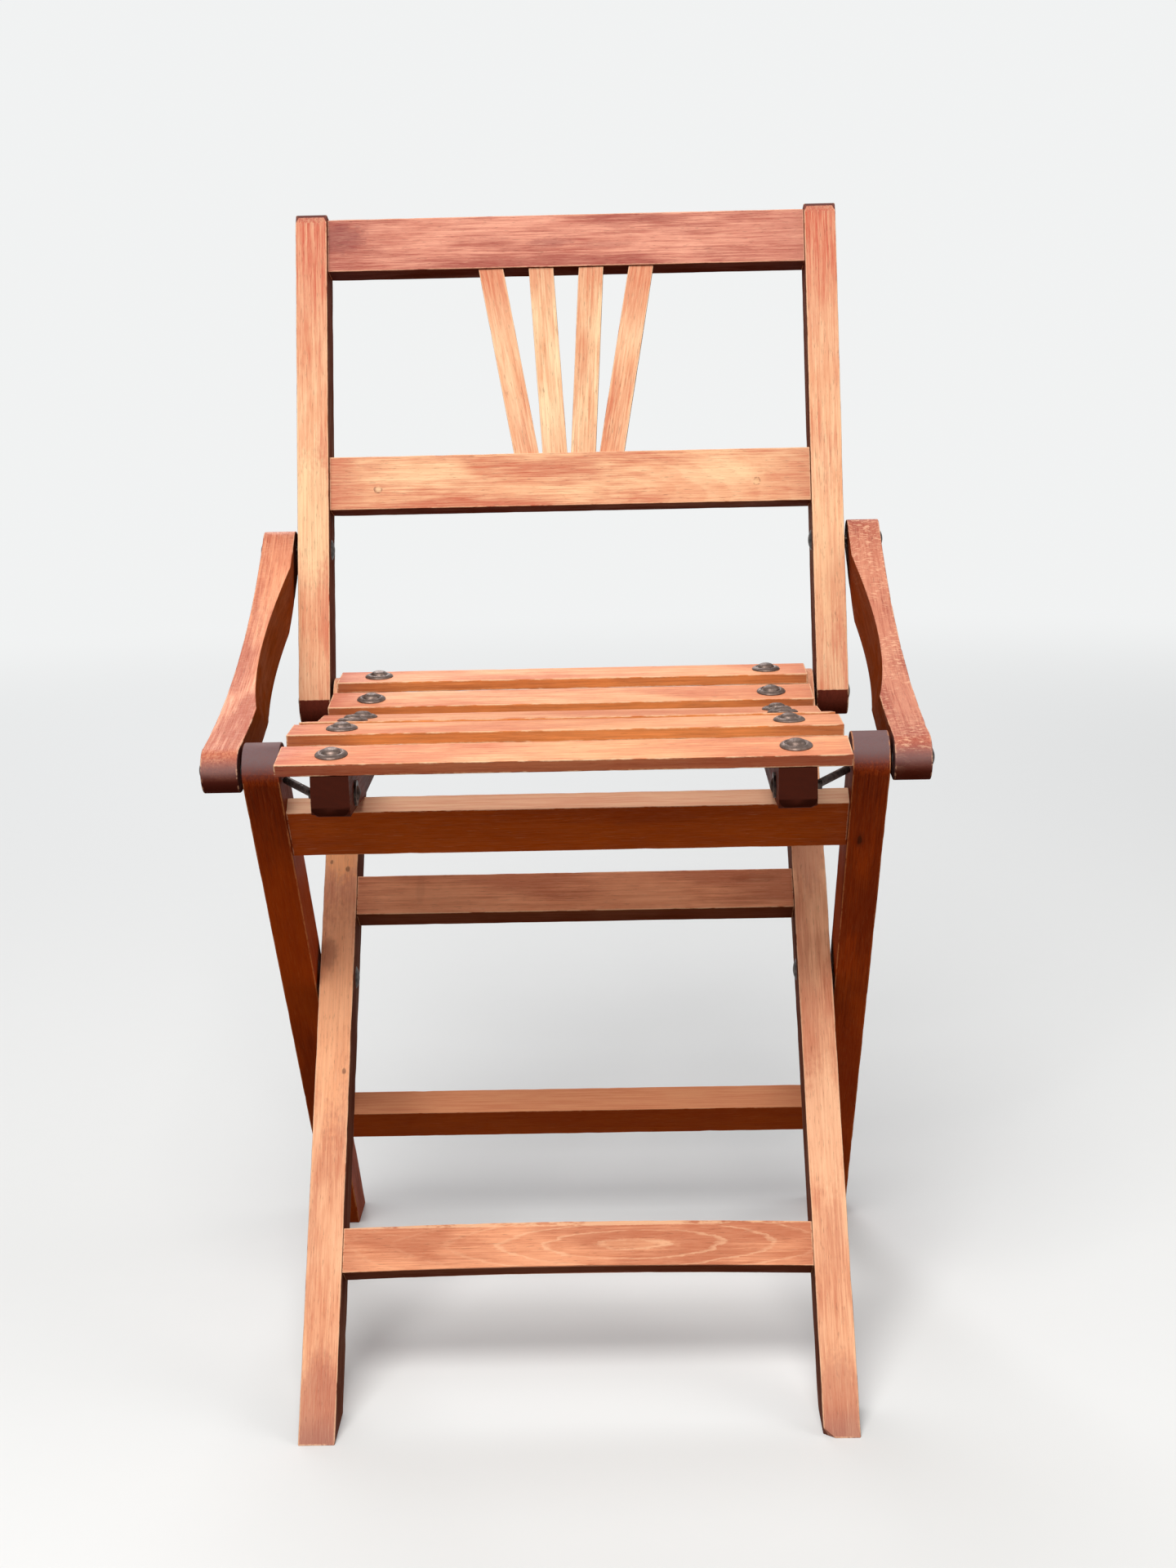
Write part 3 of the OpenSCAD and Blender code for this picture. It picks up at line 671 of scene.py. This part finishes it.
def chipCorner(shape, axes, middle, half, chip):
    corner = [side * (size - inset) for side, size, inset in zip(chip["corner"], half, chip["inset"])]
    at = middle + sum((axis * value * mm for axis, value in zip(axes, corner)), Vector())
    normal = sum((axis * value for axis, value in zip(axes, chip["normal"])), Vector()).normalized()
    cut = cutPlane(shape, at, normal, clear_outer=True)
    rim = [item for item in cut["geom_cut"] if isinstance(item, bmesh.types.BMEdge)]
    bmesh.ops.holes_fill(shape, edges=rim, sides=0)


def markPlaces(mesh, axes, half, seed, placeOf):
    # the timber materials read these places, in millimetres along, across and through the bar
    for label in placeLabels:
        mesh.attributes.new(label, "FLOAT_VECTOR", "POINT")
    grainPlace, barPlace, barHalf, sideShare = [mesh.attributes[label] for label in placeLabels]
    shift = Vector([seed * step for step in boardShift])
    for index, vertex in enumerate(mesh.vertices):
        place = placeOf(vertex.co)
        barPlace.data[index].vector = place
        barHalf.data[index].vector = half
        grainPlace.data[index].vector = place + shift
        # the normal's share through the bar and its height; the height also steers the painted shade on faces
        # turned down
        sideShare.data[index].vector = (abs(vertex.normal.dot(axes[2])), vertex.normal.z, 0)


def addObject(name, data):
    thing = bpy.data.objects.new(name, data)
    bpy.context.scene.collection.objects.link(thing)
    return thing


def toMesh(shape, name, smooth=True):
    mesh = bpy.data.meshes.new(name)
    shape.to_mesh(mesh)
    shape.free()
    for face in mesh.polygons:
        face.use_smooth = smooth
    return mesh


def dressBar(nodeName, material, settings, seed, placeOf=None, axes=None):
    settings = {**plainBar, **settings}
    shape = mergedCopy(nodeName)
    axes = axes or turnedAxes(shape)
    if settings["roundedOff"]:
        roundLowerEdge(shape, *settings["roundedOff"])
    arrises = [edge for edge in shape.edges if isSharp(edge, settings["boreEdge"])]
    bevelEdges(shape, arrises, settings["arris"], barSettings["arrisSteps"])
    reach = [[v.co.dot(axis) for v in shape.verts] for axis in axes]
    low = [min(values) for values in reach]
    high = [max(values) for values in reach]
    middle = sum((axis * ((a + b) / 2) for axis, a, b in zip(axes, low, high)), Vector())
    half = Vector(settings["half"] or [(b - a) / 2 / mm for a, b in zip(low, high)])
    placeOf = placeOf or (lambda point: Vector([(point - middle).dot(axis) for axis in axes]) / mm)
    # cuts across the bar, so that its worn arrises can be uneven
    count = int((high[0] - low[0]) / (settings["cutEvery"] * mm))
    for cut in range(1, count):
        cutPlane(shape, axes[0] * (low[0] + cut * (high[0] - low[0]) / count), axes[0],
                 dist=barSettings["cutTolerance"] * mm)
    wearArrises(shape, axes, half, settings, seed, placeOf)
    for chip in settings["chips"]:
        chipCorner(shape, axes, middle, half, chip)
    mesh = toMesh(shape, nodeName + "_worn")
    markPlaces(mesh, axes, half, seed, placeOf)
    mesh.materials.append(material)
    piece = addObject(nodeName + "_worn", mesh)
    level = piece.modifiers.new("evenShading", "WEIGHTED_NORMAL")
    level.keep_sharp = True
    level.weight = barSettings["shadingWeight"]
    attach(piece, nodes[nodeName]["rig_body"])
    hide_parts(nodeName)


def acrossFace(along, reach):
    # centre and half sizes of a mark over the full width of a post's or leg's front face
    return (along, 13, 0), (reach, 12, 14)


# back: posts, rails and fan
# a mark: its centre and half sizes in millimetres of the bar, strength, colour, and the ring of a plug
backSettings = {
    "post": {"arris": 0.5, "rub": 0.25, "nick": 0.4},
    "rail": {"arris": 0.4, "rub": 0.2, "nick": 0.35},
    "splat": {"arris": 0.35, "rub": 0.15, "nick": 0.25, "slot": "timber_light"},
    "plugMarks": [((96, 2, 4), (26, 9, 12), 0.5, (255, 218, 170)),
                  ((-113, -4, 4), (2.8, 2.5, 8), 0.6, (236, 214, 170), (120, 66, 44)),
                  ((110, -4, 4), (2.6, 2.6, 8), 0.5, (244, 204, 150), (150, 88, 56))],
    # paler patches low on the front face of the right post and of the left post
    "fadedFoot": [(*acrossFace(-60, 50), 0.5, (255, 207, 161))],
    "fadedPatch": [(*acrossFace(-30, 44), 0.65, (255, 226, 176))],
    "stainMarks": [((-135, 4, 4), (20, 12, 12), 0.75, (134, 66, 68)),
                   ((-10, -1, 4), (17, 3.6, 12), 0.6, (146, 68, 66)),
                   ((24, -3, 4), (22, 3, 12), 0.4, (150, 72, 66))],
    "outerSplats": (1, 4),
}
postTimber = makeTimber("backPostTimber", "backPost", backSettings["fadedFoot"])
fadedPostTimber = makeTimber("backPostTimber.faded", "backPost", backSettings["fadedPatch"])
topRailTimber = makeTimber("topRailTimber", "topRail", backSettings["stainMarks"])
lowerBackTimber = makeTimber("lowerBackRailTimber", "lowerBackRail", backSettings["plugMarks"])
splatTimber = makeTimber("splatTimber", "splat")
outerSplatTimber = makeTimber("splatTimber.outer", "outerSplat")
dressBar("back_post_left", fadedPostTimber, backSettings["post"], 1)
dressBar("back_post_right", postTimber, backSettings["post"], 2)
dressBar("back_rail_top", topRailTimber, backSettings["rail"], 3)
dressBar("back_rail_lower", lowerBackTimber, {**backSettings["rail"], "slot": "timber_light"}, 4)
for number in range(1, 5):
    timber = outerSplatTimber if number in backSettings["outerSplats"] else splatTimber
    dressBar("back_splat_%d" % number, timber, backSettings["splat"], 4 + number)
print("back ready")

# leg frames
legSettings = {
    "inner": {"arris": 0.5, "rub": 0.3, "nick": 0.5},
    "outer": {"arris": 0.5, "rub": 0.25, "nick": 0.4, "slot": "timber_dark"},
    "rail": {"arris": 0.4, "rub": 0.2, "nick": 0.35},
    "footChip": {"corner": (-1, 1, -1), "inset": (2.4, 1.2, 2.6), "normal": (-1, 0.6, -0.9)},
    "bowUp": 1.8,
    "railMarks": [((-86, 3, 9), (3, 11, 12), 0.14, (120, 60, 38)),
                  ((100, 6, 9), (16, 3, 12), 0.3, (120, 60, 38))],
    "ovalMarks": [((30, 1, 9), (24, 3.4, 12), 0.42, (250, 184, 140))],
    "paleMarks": [(*acrossFace(-62, 42), 0.55, (255, 202, 160)),
                  (*acrossFace(104, 34), 0.5, (172, 106, 88)),
                  (*acrossFace(-204, 28), 0.45, (174, 96, 78))],
    # the first two are pale patches of painted light on the left leg's upper front, where the seat casts its
    # shadow; the rest are stains and dark spots
    "legMarks": [(*acrossFace(10, 76), 0.75, (255, 184, 136)),
                 (*acrossFace(110, 26), 0.85, (255, 176, 118)),
                 (*acrossFace(-206, 34), 0.5, (164, 94, 82)),
                 ((42, 13, -5), (11, 6, 6), 0.5, (124, 66, 54)),
                 ((97.5, 13, -5.5), (1.6, 2, 1), 0.8, (84, 40, 24)),
                 ((93, 13, 3.7), (2, 2, 1.4), 0.8, (84, 40, 24)),
                 ((-26, 13, 6.2), (2, 2, 1.2), 0.8, (84, 40, 24))],
    "knotMarks": [(*acrossFace(-50, 60), 0.45, (122, 34, 6)),
                  ((153, 13, -3), (7, 3, 3), 0.4, (90, 26, 8)),
                  ((153, 13, -3), (4, 3, 1.4), 0.85, (44, 14, 6))],
}
innerLegTimber = makeTimber("innerLegTimber", "innerLeg", legSettings["paleMarks"])
markedLegTimber = makeTimber("innerLegTimber.marked", "innerLeg", legSettings["legMarks"])
outerLegTimber = makeTimber("outerLegTimber", "outerLeg")
knottyLegTimber = makeTimber("outerLegTimber.knotty", "outerLeg", legSettings["knotMarks"])
innerRailTimber = makeTimber("innerRailTimber", "innerRail", legSettings["railMarks"])
ovalRailTimber = makeTimber("innerRailTimber.oval", "ovalRail", legSettings["ovalMarks"])
outerRailTimber = makeTimber("outerRailTimber", "outerRail")
lowerOuterTimber = makeTimber("outerRailTimber.lower", "lowerOuterRail")
dressBar("inner_leg_left", markedLegTimber, legSettings["inner"], 11)
dressBar("inner_leg_right", innerLegTimber, {**legSettings["inner"], "chips": [legSettings["footChip"]]}, 12)
dressBar("outer_leg_left", outerLegTimber, legSettings["outer"], 13)
dressBar("outer_leg_right", knottyLegTimber, legSettings["outer"], 14)
dressBar("inner_rail_upper", innerRailTimber, legSettings["rail"], 8)
bowedRail = {**legSettings["rail"], "bowUp": legSettings["bowUp"]}
dressBar("inner_rail_lower", ovalRailTimber, bowedRail, ovalBoard)
darkRail = {**legSettings["rail"], "slot": "timber_dark"}
dressBar("outer_rail_upper", outerRailTimber, darkRail, 15)
dressBar("outer_rail_lower", lowerOuterTimber, darkRail, 16)
print("leg frames ready")

# seat: bearers and slats
seatSettings = {
    "slat": {"arris": 0.4, "cutEvery": 4, "rub": 0.10, "nick": 0.30, "boreEdge": 1.2},
    "bearer": {"arris": 0.6, "cutEvery": 8, "rub": 0.15, "nick": 0.2, "slot": "timber_dark", "boreEdge": 0.9},
    "slats": range(1, 7), "frontSlat": 6, "bearerRound": 3.2,
    "bearerAxes": (Vector((0, -1, 0)), Vector((0, 0, 1)), Vector((1, 0, 0))),
}
bothSides = ("left", -1), ("right", 1)
slatTimber = makeTimber("slatTimber", "slat")
bearerTimber = makeTimber("bearerTimber", "bearer")
frontSlatTimber = makeTimber("slatTimber.front", "frontSlat")
for number in seatSettings["slats"]:
    timber = frontSlatTimber if number == seatSettings["frontSlat"] else slatTimber
    dressBar("seat_slat_%d" % number, timber, seatSettings["slat"], 20 + number)
for seed, (side, sign) in enumerate(bothSides, 30):
    bearer = {**seatSettings["bearer"], "roundedOff": (sign, seatSettings["bearerRound"])}
    dressBar("seat_bearer_" + side, bearerTimber, bearer, seed, axes=seatSettings["bearerAxes"])
print("seat ready")

# arms follow one curve from the rear pin to the front stud
armSettings = {
    "elbow": pinCentres[2], "front": pinCentres[3],
    "rearBend": (-49.5, -39), "frontBend": (103, 13.5), "samples": 160,
    "width": 23, "thick": 18.5, "middleX": 171.75,
    "arm": {"arris": 0.5, "rub": 0.25, "nick": 0.4},
    "axes": (Vector((0, 1, 0)), Vector((0, 0, 1)), Vector((1, 0, 0))),
}


def armLine():
    elbow = Vector(armSettings["elbow"]) / mm
    front = Vector(armSettings["front"]) / mm
    rear = elbow + Vector(armSettings["rearBend"])
    fore = front + Vector(armSettings["frontBend"])
    points, length = [], 0
    for index in range(armSettings["samples"] + 1):
        t = index / armSettings["samples"]
        at = elbow * (1 - t) ** 3 + rear * 3 * t * (1 - t) ** 2 + fore * 3 * t * t * (1 - t) + front * t ** 3
        if points:
            length += (at - points[-1][0]).length
        points.append((at, length))
    return points, length


armPoints, armLength = armLine()


def armPlace(side):
    middleX = armSettings["middleX"] * side

    def placeOf(point):
        spot = Vector((point.y, point.z)) / mm
        best = min(range(1, len(armPoints)), key=lambda i: (armPoints[i][0] - spot).length_squared)
        run = (armPoints[best][0] - armPoints[best - 1][0]).normalized()
        away = spot - armPoints[best][0]
        along = armPoints[best][1] + away.dot(run)
        return Vector((armLength / 2 - along, run.y * away.x - run.x * away.y, point.x / mm - middleX))
    return placeOf


armHalf = (armLength / 2 + armSettings["width"] / 2, armSettings["width"] / 2, armSettings["thick"] / 2)
arm = {**armSettings["arm"], "half": armHalf}
for seed, (side, sign) in enumerate(bothSides, 41):
    armTimber = makeTimber("armTimber." + side, "arm" + side.capitalize())
    dressBar("arm_" + side, armTimber, arm, seed, placeOf=armPlace(sign), axes=armSettings["axes"])
print("arms ready")

# metal; waves per metre
metalSettings = {
    "rivet": {"bright": (118, 101, 93), "dark": (92, 78, 72), "rust": (82, 65, 56), "bumps": 0.12},
    "pin": {"bright": (84, 72, 66), "dark": (46, 38, 36), "rust": (54, 34, 28), "bumps": 0.3},
    "tarnish": ((420, 420, 420), 5, 0.65), "tarnishSpan": (0.35, 0.65), "roughSpan": (0.3, 0.7),
    "grime": ((130, 130, 130), 3, 0.6, (3, 1, 2)), "rustSpan": (0.52, 0.70), "rustShare": 0.5,
    "metallic": (0.45, 0.75, 0.95, 0.55), "rough": 0.40, "roughTarnish": 0.14,
    "scratch": ((300, 2600, 900), 2, 0.5, (1, 5, 2)), "scratchShare": 0.4, "bumpDepth": 0.00012,
}


def makeMetal(name, look):
    settings = metalSettings
    material, tree, shader = startMaterial(name)
    place = tree.nodes.new("ShaderNodeTexCoord").outputs["Object"]
    tarnish, grime, scratch = [noiseOn(place, *settings[kind]) for kind in ("tarnish", "grime", "scratch")]
    colour = layOn(toLinear(look["bright"]), look["dark"], span(tarnish, *settings["tarnishSpan"]))
    colour = layOn(colour, look["rust"], span(grime, *settings["rustSpan"]), settings["rustShare"])
    feed(shader.inputs["Base Color"], colour)
    feed(shader.inputs["Metallic"], span(grime, *settings["metallic"]))
    dulled = span(tarnish, *settings["roughSpan"])
    feed(shader.inputs["Roughness"], withShares(settings["rough"], (dulled, settings["roughTarnish"])))
    height = withShares(tarnish, (scratch, settings["scratchShare"]))
    addBump(shader, height, look["bumps"], settings["bumpDepth"])
    return material


rivetSteel = makeMetal("rivetSteel", metalSettings["rivet"])
pinSteel = makeMetal("pinSteel", metalSettings["pin"])
for name in ("scissor_pins", "back_hinge_pins", "arm_rear_pins", "arm_stud_left", "arm_stud_right",
             "seat_pegs", "seat_peg_washers"):
    nodes[name].data.materials[0] = pinSteel

rivetSettings = {
    # radius and height in millimetres: pressed cup with a rolled rim, a groove and the domed rivet
    "profile": [(0, -0.3), (7.6, -0.3), (8, 0.05), (7.95, 0.45), (7.6, 0.85), (6.9, 1.3), (6.2, 1.62),
                (5.7, 1.72), (5.35, 1.6), (5.05, 1.35), (4.85, 1.3), (4.7, 1.5), (4.55, 1.95), (4.1, 2.55),
                (3.4, 3.02), (2.5, 3.32), (1.6, 3.44), (1.2, 3.40), (0.7, 3.52), (0, 3.56)],
    "steps": 48, "weld": 0.004,
}


def rivetIslands():
    # the corner points of each rivet of the CAD group, rivet by rivet
    source = mergedCopy("slat_rivets")
    left = set(source.verts)
    islands = []
    while left:
        island = [left.pop()]
        for vertex in island:
            near = {edge.other_vert(vertex) for edge in vertex.link_edges} & left
            left -= near
            island.extend(near)
        islands.append([vertex.co.copy() for vertex in island])
    source.free()
    return sorted(islands, key=lambda points: (round(min(p.x for p in points), 4), min(p.y for p in points)))


def slatTops():
    # middle, upward normal and top of each slat
    slats = []
    for number in seatSettings["slats"]:
        shape = mergedCopy("seat_slat_%d" % number)
        up = facing(barAxes(shape)[2], (0, 0, 1))
        middle = sum((v.co for v in shape.verts), Vector()) / len(shape.verts)
        slats.append((middle, up, max(v.co.dot(up) for v in shape.verts)))
        shape.free()
    return slats


def buildRivets():
    slats = slatTops()
    right = Vector((1, 0, 0))
    shape = bmesh.new()
    for island in rivetIslands():
        centre = Vector([(min(p[i] for p in island) + max(p[i] for p in island)) / 2 for i in range(3)])
        middle, up, top = min(slats, key=lambda slat: abs(slat[0].y - centre.y) + abs(slat[0].z - centre.z))
        fore = up.cross(right).normalized()
        reach = [p.dot(fore) for p in island]
        foot = Vector((centre.x, 0, 0)) + fore * ((min(reach) + max(reach)) / 2) + up * top
        turn = Matrix((right, up.cross(right), up)).transposed().to_4x4()
        before = set(shape.verts)
        ring = [shape.verts.new((radius * mm, 0, height * mm)) for radius, height in rivetSettings["profile"]]
        edges = [shape.edges.new((a, b)) for a, b in zip(ring, ring[1:])]
        bmesh.ops.spin(shape, geom=ring + edges, cent=(0, 0, 0), axis=(0, 0, 1), angle=math.tau,
                       steps=rivetSettings["steps"], use_merge=True, use_duplicate=False)
        added = [vertex for vertex in shape.verts if vertex not in before]
        bmesh.ops.transform(shape, matrix=Matrix.Translation(foot) @ turn, verts=added)
    bmesh.ops.remove_doubles(shape, verts=shape.verts, dist=rivetSettings["weld"] * mm)
    bmesh.ops.recalc_face_normals(shape, faces=shape.faces)
    mesh = toMesh(shape, "slat_rivets_turned")
    mesh.materials.append(rivetSteel)
    piece = addObject("slat_rivets_turned", mesh)
    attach(piece, nodes["slat_rivets"]["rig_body"])
    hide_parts("slat_rivets")


buildRivets()
print("metal ready")

# floor, light and camera
sceneSettings = {
    "paper": (0.80, 0.81, 0.81), "bounce": (0.26, 0.20, 0.16), "background": (0.88, 0.89, 0.89),
    "skyTint": (0.97, 0.985, 1), "sky": 0.24, "floorSize": 14, "floorSides": 96, "fade": (0.9, 3.2),
    "speckle": ((60, 60, 60), 3, 0.6), "speckleShare": 0.12, "speckleTone": 0.93,
}


def seenDirectly(path):
    # the plain background shows to the camera, in mirrors and through clear parts
    return most(path["Is Camera Ray"], most(path["Is Glossy Ray"], path["Is Transmission Ray"]))


def buildFloor():
    settings = sceneSettings
    shape = bmesh.new()
    bmesh.ops.create_circle(shape, cap_ends=True, segments=settings["floorSides"],
                            radius=settings["floorSize"])
    mesh = toMesh(shape, "studioFloor", smooth=False)
    floor = addObject("studioFloor", mesh)
    material = bpy.data.materials.new("floorPaper")
    tree, surface = startTree(material, "ShaderNodeOutputMaterial")
    paper = tree.nodes.new("ShaderNodeBsdfDiffuse")
    place = tree.nodes.new("ShaderNodeTexCoord").outputs["Object"]
    speckle = times(noiseOn(place, *settings["speckle"]), settings["speckleShare"])
    tint = blendColour(speckle, (*settings["paper"], 1),
                       (*darker(settings["paper"], settings["speckleTone"]), 1))
    path = tree.nodes.new("ShaderNodeLightPath").outputs
    feed(paper.inputs["Color"], blendColour(path["Is Diffuse Ray"], tint, (*settings["bounce"], 1)))
    glow = tree.nodes.new("ShaderNodeEmission")
    glow.inputs["Color"].default_value = (*settings["background"], 1)
    far = span(vectorStep("LENGTH", place), *settings["fade"])
    amount = times(seenDirectly(path), far)
    feed(surface, addStep("ShaderNodeMixShader", (amount, paper.outputs[0], glow.outputs[0]))[0])
    mesh.materials.append(material)


def buildWorld():
    world = bpy.data.worlds.new("softSky")
    bpy.context.scene.world = world
    tree, surface = startTree(world, "ShaderNodeOutputWorld")
    skies = (sceneSettings["skyTint"], sceneSettings["sky"]), (sceneSettings["background"], 1)
    shades = []
    for colour, strength in skies:
        shade = tree.nodes.new("ShaderNodeBackground")
        shade.inputs["Color"].default_value = (*colour, 1)
        shade.inputs["Strength"].default_value = strength
        shades.append(shade.outputs[0])
    path = tree.nodes.new("ShaderNodeLightPath").outputs
    feed(surface, addStep("ShaderNodeMixShader", (seenDirectly(path), *shades))[0])


lampSettings = {
    # place, disk size, power and colour; all aim at the seat
    "aim": (0, 0, 0.3),
    "lamps": [("keyLamp", (-0.35, -2.05, 2.6), 2.1, 98, (1, 0.98, 0.95)),
              ("sideLamp", (2.3, -0.4, 1.9), 1.5, 12, (1, 0.98, 0.96)),
              ("rearLamp", (-0.5, 2.3, 2.2), 1.5, 34, (0.98, 0.98, 1))],
}


def addLamp(name, place, size, power, colour):
    lamp = bpy.data.lights.new(name, "AREA")
    lamp.shape = "DISK"
    lamp.size = size
    lamp.energy = power
    lamp.color = colour
    holder = addObject(name, lamp)
    holder.location = place
    aim = Vector(lampSettings["aim"]) - Vector(place)
    holder.rotation_euler = aim.to_track_quat("-Z", "Y").to_euler()


cameraSettings = {
    # the photograph's place, aim and lens, found from the chair's own edges; a positive pitch looks down
    "place": (0.02973, -1.19966, 0.53659), "pitch": 11.32, "yaw": -1, "roll": -1.31,
    "focal": 2717.96, "longSide": 1920, "sensor": 36, "near": 0.05, "far": 60,
}


def buildCamera():
    settings = cameraSettings
    camera = bpy.data.cameras.new("viewCamera")
    camera.sensor_width = settings["sensor"]
    camera.lens = settings["focal"] / settings["longSide"] * settings["sensor"]
    camera.clip_start = settings["near"]
    camera.clip_end = settings["far"]
    holder = addObject("viewCamera", camera)
    pitch, yaw, roll = [math.radians(settings[label]) for label in ("pitch", "yaw", "roll")]
    ahead = Vector((math.sin(yaw) * math.cos(pitch), math.cos(yaw) * math.cos(pitch), -math.sin(pitch)))
    right = Vector((math.cos(yaw), -math.sin(yaw), 0))
    up = right.cross(ahead)
    right, up = (right * math.cos(roll) + up * math.sin(roll), up * math.cos(roll) - right * math.sin(roll))
    turn = Matrix((right, up, -ahead)).transposed()
    holder.matrix_world = Matrix.Translation(settings["place"]) @ turn.to_4x4()
    bpy.context.scene.camera = holder


buildFloor()
buildWorld()
for lampRow in lampSettings["lamps"]:
    addLamp(*lampRow)
buildCamera()
bpy.context.scene.view_settings.view_transform = "Standard"
print("floor, light and camera ready")
